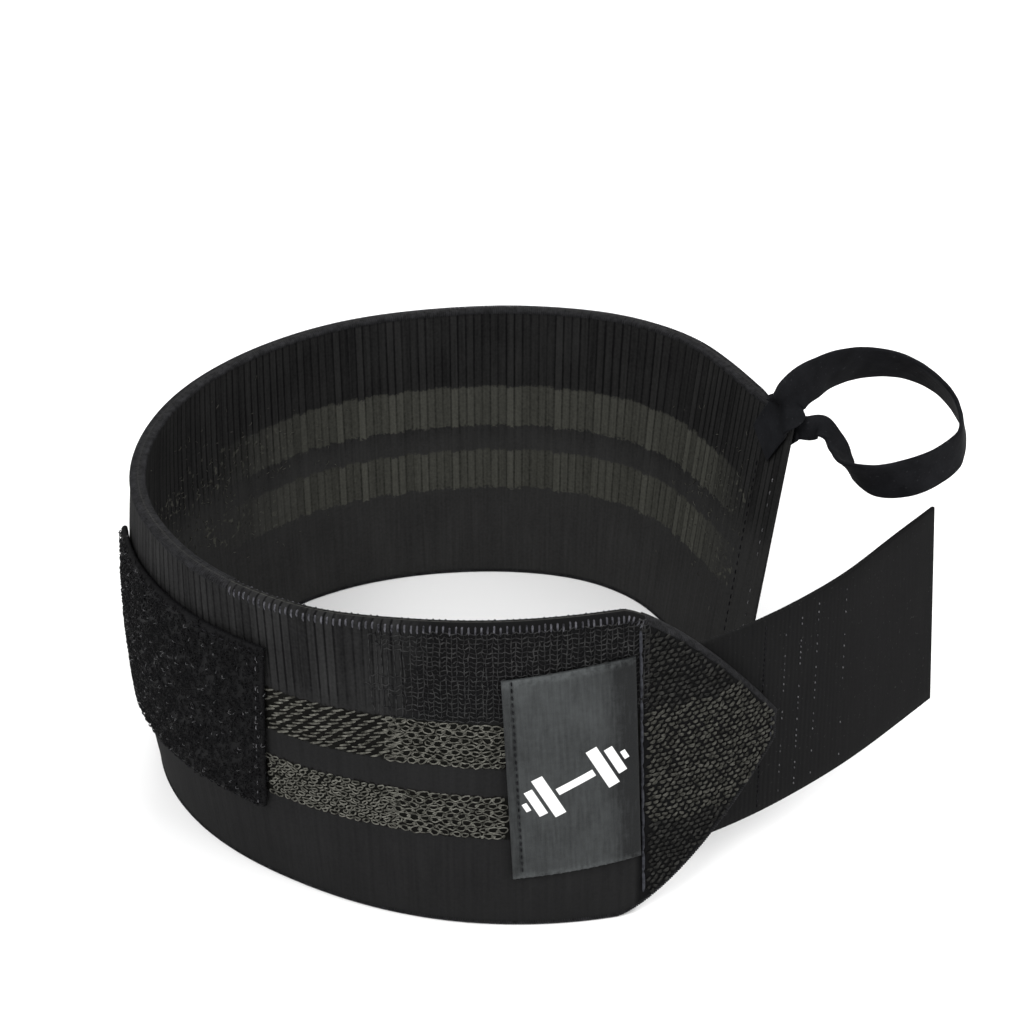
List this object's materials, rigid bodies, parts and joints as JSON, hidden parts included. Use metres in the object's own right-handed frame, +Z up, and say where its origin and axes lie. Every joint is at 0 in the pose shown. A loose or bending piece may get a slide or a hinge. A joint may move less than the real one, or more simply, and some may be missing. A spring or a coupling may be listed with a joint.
{
  "type": "wrist wrap",
  "caption": "Elastic wrist wrap bent into an open ring: a striped band with a thumb loop at one end and a hook closure strap at the other, used to brace a wrist when lifting weights.",
  "frame": {"origin": "on the surface it stands on, below the middle of the whole wrap's box", "axes": "+X the longest way, from the pile patch to the thumb loop; +Y away from the pointed end; +Z up, across the band's width"},
  "size_m": [0.1884, 0.1394, 0.0884],
  "materials": {
    "ribbed_elastic": "ribbed elastic weave with two olive stripes",
    "pile": "fuzzy knitted pile",
    "smooth_tape": "smooth close-woven tape",
    "hooks": "small dense nylon hooks",
    "label_faux_leather": "soft matt grey-black grain",
    "loop_strap": "soft narrow elastic webbing"
  },
  "bodies": {
    "root": {"elastic_band": "ribbed_elastic", "pile_patch": "pile", "closure_strap": "smooth_tape", "hook_tape": "hooks", "label": "label_faux_leather", "thumb_loop": "loop_strap"}
  },
  "joints": []
}
